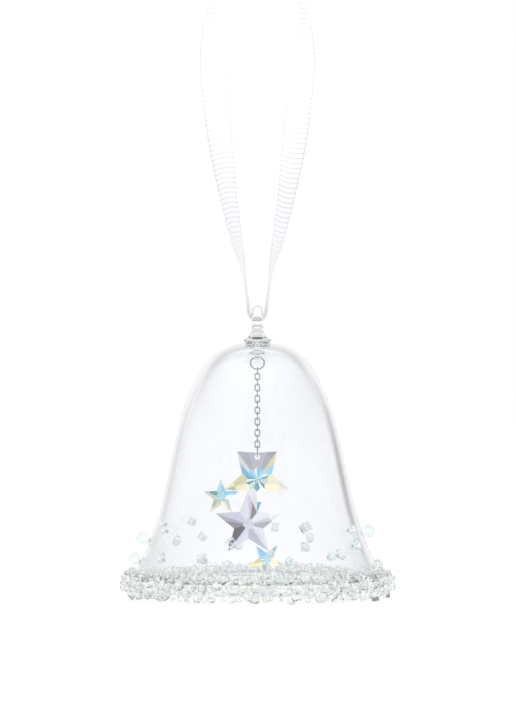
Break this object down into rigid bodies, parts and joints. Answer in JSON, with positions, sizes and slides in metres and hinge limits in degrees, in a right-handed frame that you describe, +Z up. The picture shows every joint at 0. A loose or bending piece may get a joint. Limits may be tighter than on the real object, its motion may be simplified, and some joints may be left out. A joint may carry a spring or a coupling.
{
  "type": "glass bell ornament",
  "caption": "Hanging glass bell with a flared clear dome, a rim of cut crystals, and crystal stars on a fine chain inside, on a white ribbon.",
  "frame": {"origin": "inside top of the ribbon's loop, where the ornament hangs from a hook or a twig", "axes": "+Z up along the hanging line; -Y towards the front of the stars; +X to the right seen from the front"},
  "size_m": [0.0718, 0.0718, 0.1659],
  "materials": {
    "ribbon": "ribbed satin",
    "thread": "thread",
    "dome_glass": "clear blown glass",
    "stem_glass": "clear glass",
    "clear_cement": "clear adhesive",
    "rim_crystal": "cut crystal with a faint green cast",
    "chain_metal": "rhodium plated",
    "aurora_crystal": "cut crystal with an aurora coating",
    "clear_crystal": "cut crystal with a silvered back"
  },
  "bodies": {
    "ribbon": {"hanging_ribbon": "ribbon", "ribbon_seam": "ribbon", "seam_stitches": "thread"},
    "bell": {"glass_dome": "dome_glass", "hanger_stem": "stem_glass", "crown_cement": "clear_cement", "rim_cement": "clear_cement", "rim_beads_upper": "rim_crystal", "rim_chatons_upper": "rim_crystal", "rim_cubes_upper": "rim_crystal", "rim_beads_outer": "rim_crystal", "rim_chatons_outer": "rim_crystal", "rim_cubes_outer": "rim_crystal", "rim_beads_lower": "rim_crystal", "rim_chatons_lower": "rim_crystal", "rim_cubes_lower": "rim_crystal", "rim_beads_inner": "rim_crystal", "rim_chatons_inner": "rim_crystal", "rim_cubes_inner": "rim_crystal", "wall_beads": "rim_crystal", "wall_cubes": "rim_crystal", "wall_cement": "clear_cement"},
    "jump_ring": {"jump_ring": "chain_metal"},
    "chain_link_01": {"chain_link_01": "chain_metal"},
    "chain_link_02": {"chain_link_02": "chain_metal"},
    "chain_link_03": {"chain_link_03": "chain_metal"},
    "chain_link_04": {"chain_link_04": "chain_metal"},
    "chain_link_05": {"chain_link_05": "chain_metal"},
    "chain_link_06": {"chain_link_06": "chain_metal"},
    "chain_link_07": {"chain_link_07": "chain_metal"},
    "chain_link_08": {"chain_link_08": "chain_metal"},
    "chain_link_09": {"chain_link_09": "chain_metal"},
    "chain_link_10": {"chain_link_10": "chain_metal"},
    "chain_link_11": {"chain_link_11": "chain_metal"},
    "chain_link_12": {"chain_link_12": "chain_metal"},
    "chain_link_13": {"chain_link_13": "chain_metal"},
    "chain_link_14": {"chain_link_14": "chain_metal"},
    "star_ring": {"star_ring": "chain_metal"},
    "star_cluster": {"star_aurora_large": "aurora_crystal", "star_clear_large": "clear_crystal", "star_aurora_left": "aurora_crystal", "star_aurora_low": "aurora_crystal", "star_cement": "clear_cement"}
  },
  "joints": [
    {"name": "bell_swing", "type": "hinge", "parent": "ribbon", "child": "bell", "pos_m": [0, 0, -0.0932], "axis": [1, 0, 0], "range_deg": [-90, 90]},
    {"name": "jump_ring_swing", "type": "hinge", "parent": "bell", "child": "jump_ring", "pos_m": [0, 0, -0.1018], "axis": [1, 0, 0], "range_deg": [-18, 18]},
    {"name": "link_01_swing", "type": "hinge", "parent": "jump_ring", "child": "chain_link_01", "pos_m": [0, 0, -0.10547], "axis": [0, 1, 0], "range_deg": [-11, 11]},
    {"name": "link_02_swing", "type": "hinge", "parent": "chain_link_01", "child": "chain_link_02", "pos_m": [0, 0, -0.10694], "axis": [-1, 0, 0], "range_deg": [-20, 20]},
    {"name": "link_03_swing", "type": "hinge", "parent": "chain_link_02", "child": "chain_link_03", "pos_m": [0, 0, -0.1084], "axis": [0, -1, 0], "range_deg": [-12, 12]},
    {"name": "link_04_swing", "type": "hinge", "parent": "chain_link_03", "child": "chain_link_04", "pos_m": [0, 0, -0.10985], "axis": [1, 0, 0], "range_deg": [-20, 20]},
    {"name": "link_05_swing", "type": "hinge", "parent": "chain_link_04", "child": "chain_link_05", "pos_m": [0, 0, -0.11131], "axis": [0, 1, 0], "range_deg": [-13, 13]},
    {"name": "link_06_swing", "type": "hinge", "parent": "chain_link_05", "child": "chain_link_06", "pos_m": [0, 0, -0.11278], "axis": [-1, 0, 0], "range_deg": [-22, 22]},
    {"name": "link_07_swing", "type": "hinge", "parent": "chain_link_06", "child": "chain_link_07", "pos_m": [0, 0, -0.11424], "axis": [0, -1, 0], "range_deg": [-15, 15]},
    {"name": "link_08_swing", "type": "hinge", "parent": "chain_link_07", "child": "chain_link_08", "pos_m": [0, 0, -0.1157], "axis": [1, 0, 0], "range_deg": [-24, 24]},
    {"name": "link_09_swing", "type": "hinge", "parent": "chain_link_08", "child": "chain_link_09", "pos_m": [0, 0, -0.11715], "axis": [0, 1, 0], "range_deg": [-17, 17]},
    {"name": "link_10_swing", "type": "hinge", "parent": "chain_link_09", "child": "chain_link_10", "pos_m": [0, 0, -0.11861], "axis": [-1, 0, 0], "range_deg": [-26, 26]},
    {"name": "link_11_swing", "type": "hinge", "parent": "chain_link_10", "child": "chain_link_11", "pos_m": [0, 0, -0.12008], "axis": [0, -1, 0], "range_deg": [-20, 20]},
    {"name": "link_12_swing", "type": "hinge", "parent": "chain_link_11", "child": "chain_link_12", "pos_m": [0, 0, -0.12154], "axis": [1, 0, 0], "range_deg": [-28, 28]},
    {"name": "link_13_swing", "type": "hinge", "parent": "chain_link_12", "child": "chain_link_13", "pos_m": [0, 0, -0.12299], "axis": [0, 1, 0], "range_deg": [-25, 25]},
    {"name": "link_14_swing", "type": "hinge", "parent": "chain_link_13", "child": "chain_link_14", "pos_m": [0, 0, -0.12445], "axis": [-1, 0, 0], "range_deg": [-30, 30]},
    {"name": "star_ring_swing", "type": "hinge", "parent": "chain_link_14", "child": "star_ring", "pos_m": [0, 0, -0.12632], "axis": [1, 0, 0], "range_deg": [-30, 30]},
    {"name": "star_cluster_swing", "type": "hinge", "parent": "star_ring", "child": "star_cluster", "pos_m": [0, 0, -0.12871], "axis": [0, -1, 0], "range_deg": [-30, 30]}
  ]
}
